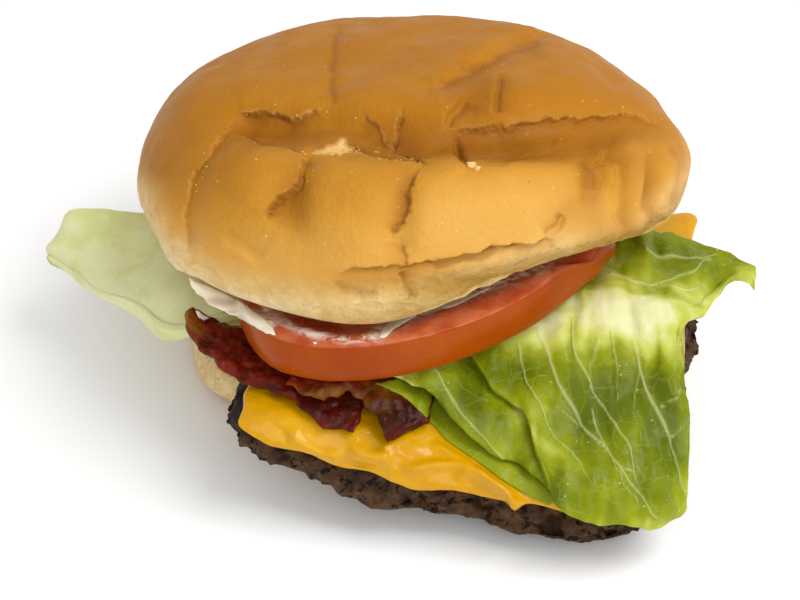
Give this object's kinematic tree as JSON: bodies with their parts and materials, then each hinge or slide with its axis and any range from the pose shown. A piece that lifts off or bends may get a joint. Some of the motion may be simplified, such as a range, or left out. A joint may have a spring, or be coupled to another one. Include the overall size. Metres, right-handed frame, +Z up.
{
  "type": "bacon cheeseburger",
  "caption": "A soft round bun filled with a square beef patty, melted cheese slice, bacon, lettuce and a tomato slice, the top bun tilted back.",
  "frame": {"origin": "centre of the bottom bun's flat underside, where the burger stands", "axes": "+Z up, -Y towards the viewer of the picture where the filling shows, +X to that viewer's right, along the lettuce leaf's length"},
  "size_m": [0.1418, 0.1308, 0.0689],
  "materials": {
    "bun_crust": "soft golden brown baked crust, satin",
    "bun_crumb": "pale cream bread with a thin tan crust, matte",
    "beef": "seared brown ground beef, rough with a slight grease shine",
    "cheese": "smooth orange yellow melted cheese, glossy",
    "bacon": "dark red cooked bacon with amber fat, glossy",
    "lettuce": "yellow green leaf with pale veins, moist",
    "tomato": "orange red ripe tomato, moist and smooth"
  },
  "bodies": {
    "root": {"crown": "bun_crust", "heel": "bun_crumb", "patty": "beef", "cheese": "cheese", "bacon_left": "bacon", "bacon_front": "bacon", "lettuce_leaf": "lettuce", "lettuce_fold": "lettuce", "tomato": "tomato"}
  },
  "joints": []
}
